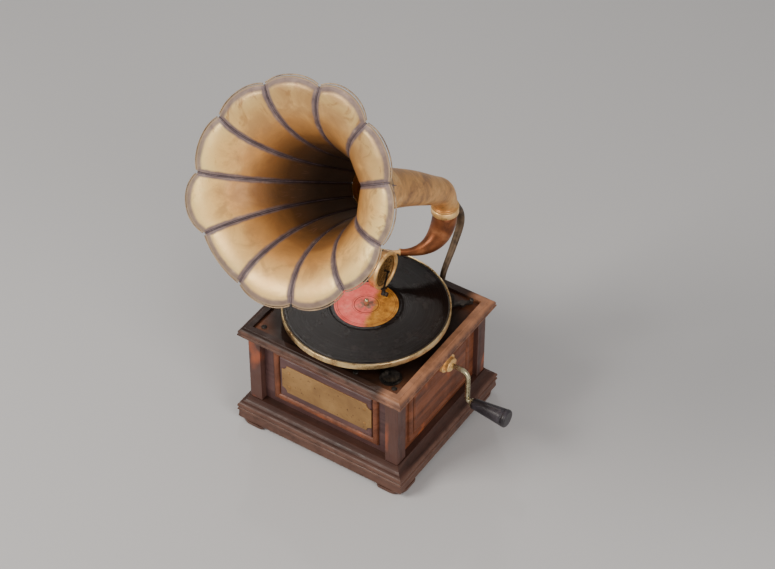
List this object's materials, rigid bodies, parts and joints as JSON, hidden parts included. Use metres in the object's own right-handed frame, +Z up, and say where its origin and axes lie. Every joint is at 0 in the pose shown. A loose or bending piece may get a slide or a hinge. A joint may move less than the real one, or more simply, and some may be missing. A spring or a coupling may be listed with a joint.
{
  "type": "wind up phonograph",
  "caption": "Table phonograph with a square panelled wooden case, a winding crank, a record on its turntable, and a wide petalled horn over a curved tone arm.",
  "frame": {"origin": "on the surface that the feet stand on, at the middle of the whole outline seen from above, horn and crank included", "axes": "+Z up, +X towards the crank's side of the case, -Y towards the front that the horn faces"},
  "size_m": [0.3984, 0.5262, 0.7812],
  "materials": {
    "walnut": "waxed walnut, worn at the edges",
    "horn_gold": "gilded sheet metal, aged",
    "horn_seam": "grey-violet paint over folded seams",
    "old_gold": "aged gilt brass",
    "copper": "coppered tube",
    "bright_brass": "polished brass",
    "bracket_brass": "cast bracket, brushed gilt",
    "antique_brass": "antiqued brass plate",
    "shellac": "grooved shellac",
    "label_paper": "printed paper label, plain",
    "felt": "wool felt",
    "steel": "turned steel",
    "dark_steel": "blackened steel",
    "nickel": "worn nickel plate",
    "movement_brass": "cut brass",
    "cast_iron": "cast iron",
    "mica": "brown mica",
    "grip_black": "ebonised wood",
    "lead": "cast lead"
  },
  "bodies": {
    "case": {"base_moulding": "walnut", "corner_feet": "walnut", "bottom_board": "walnut", "corner_posts": "walnut", "front_panel": "walnut", "back_panel": "walnut", "left_panel": "walnut", "right_panel": "walnut", "panel_beads": "walnut", "front_plate": "antique_brass", "plate_pins": "antique_brass", "top_frame": "walnut", "motor_board": "walnut", "board_screws": "dark_steel", "speed_dial": "dark_steel", "crank_escutcheon": "bright_brass", "escutcheon_screws": "bright_brass", "winding_bush": "movement_brass", "motor_plates": "cast_iron", "motor_pillars": "steel", "governor_bearings": "cast_iron", "click_spring": "steel", "horn_bracket": "bracket_brass", "bracket_screws": "steel", "horn_collar": "bright_brass"},
    "turntable": {"platter": "cast_iron", "platter_rim": "old_gold", "turntable_felt": "felt", "record": "shellac", "record_label": "label_paper", "spindle": "nickel", "spindle_gears": "movement_brass"},
    "barrel": {"spring_barrel": "movement_brass", "barrel_cover": "movement_brass", "mainspring": "steel"},
    "governor": {"governor_shaft": "steel", "governor_disc": "movement_brass", "governor_springs": "steel", "governor_weights": "lead"},
    "winder": {"winding_wheel": "movement_brass", "barrel_arbor": "steel"},
    "click": {"click_pawl": "steel"},
    "crank": {"crank_arm": "nickel", "winding_pinion": "steel"},
    "grip": {"crank_grip": "grip_black"},
    "speed_control": {"speed_knob": "dark_steel"},
    "brake": {"brake_lever": "dark_steel"},
    "tone_arm_body": {"tone_arm": "copper"},
    "soundbox": {"gooseneck": "old_gold", "soundbox_body": "old_gold", "soundbox_ring": "bright_brass", "diaphragm": "mica"},
    "stylus": {"stylus_bar": "dark_steel", "needle": "steel"},
    "needle_clamp": {"needle_screw": "dark_steel"},
    "horn": {"horn_elbow": "old_gold", "horn_neck": "old_gold", "horn_petals": "horn_gold", "horn_seams": "horn_seam", "horn_rim_wire": "horn_seam"}
  },
  "joints": [
    {"name": "turntable_spin", "type": "hinge", "parent": "case", "child": "turntable", "pos_m": [-0.04675, 0.062, 0.209], "axis": [0, 0, 1], "continuous": true},
    {"name": "barrel_turn", "type": "hinge", "parent": "case", "child": "barrel", "pos_m": [0.00239, 0.079, 0.109], "axis": [0, 0, 1], "continuous": true},
    {"name": "governor_spin", "type": "hinge", "parent": "case", "child": "governor", "pos_m": [-0.07675, 0.0374, 0.14], "axis": [1, 0, 0], "continuous": true},
    {"name": "crank_turn", "type": "hinge", "parent": "case", "child": "crank", "pos_m": [0.10325, 0.079, 0.157], "axis": [1, 0, 0], "continuous": true},
    {"name": "winder_turn", "type": "hinge", "parent": "case", "child": "winder", "pos_m": [0.00239, 0.079, 0.139], "axis": [0, 0, 1], "continuous": true},
    {"name": "click_lift", "type": "hinge", "parent": "case", "child": "click", "pos_m": [0.02939, 0.087, 0.1385], "axis": [0, 0, 1], "range_deg": [0, 15], "stiffness_Nm_per_rad": 0.01, "springref_deg": -5.73},
    {"name": "grip_spin", "type": "hinge", "parent": "crank", "child": "grip", "pos_m": [0.16325, 0.079, 0.097], "axis": [1, 0, 0], "continuous": true},
    {"name": "speed_turn", "type": "hinge", "parent": "case", "child": "speed_control", "pos_m": [0.05525, -0.026, 0.199], "axis": [0, 0, 1], "range_deg": [-60, 60]},
    {"name": "brake_swing", "type": "hinge", "parent": "case", "child": "brake", "pos_m": [0.06125, 0.165, 0.209], "axis": [0, 0, 1], "range_deg": [0, 35]},
    {"name": "tone_arm_swing", "type": "hinge", "parent": "case", "child": "tone_arm_body", "pos_m": [-0.00175, 0.2106, 0.309], "axis": [0, 0, 1], "range_deg": [-6, 60]},
    {"name": "soundbox_lift", "type": "hinge", "parent": "tone_arm_body", "child": "soundbox", "pos_m": [-0.04275, 0.1515, 0.264], "axis": [-0.8708, -0.4862, -0.0726], "range_deg": [0, 95]},
    {"name": "stylus_rock", "type": "hinge", "parent": "soundbox", "child": "stylus", "pos_m": [-0.03675, 0.09479, 0.23534], "axis": [0, 0.9164, -0.4003], "range_deg": [-0.5, 0.5], "stiffness_Nm_per_rad": 0.6},
    {"name": "needle_screw_turn", "type": "hinge", "parent": "stylus", "child": "needle_clamp", "pos_m": [-0.03325, 0.09183, 0.22856], "axis": [1, 0, 0], "range_deg": [0, 270]},
    {"name": "horn_swivel", "type": "hinge", "parent": "case", "child": "horn", "pos_m": [-0.00175, 0.2106, 0.339], "axis": [0, 0, 1], "range_deg": [-90, 90]}
  ],
  "couplings": [
    {"joint": "barrel_turn", "follows": "turntable_spin", "ratio": -0.2381},
    {"joint": "governor_spin", "follows": "turntable_spin", "ratio": 12},
    {"joint": "winder_turn", "follows": "crank_turn", "ratio": 0.5}
  ]
}
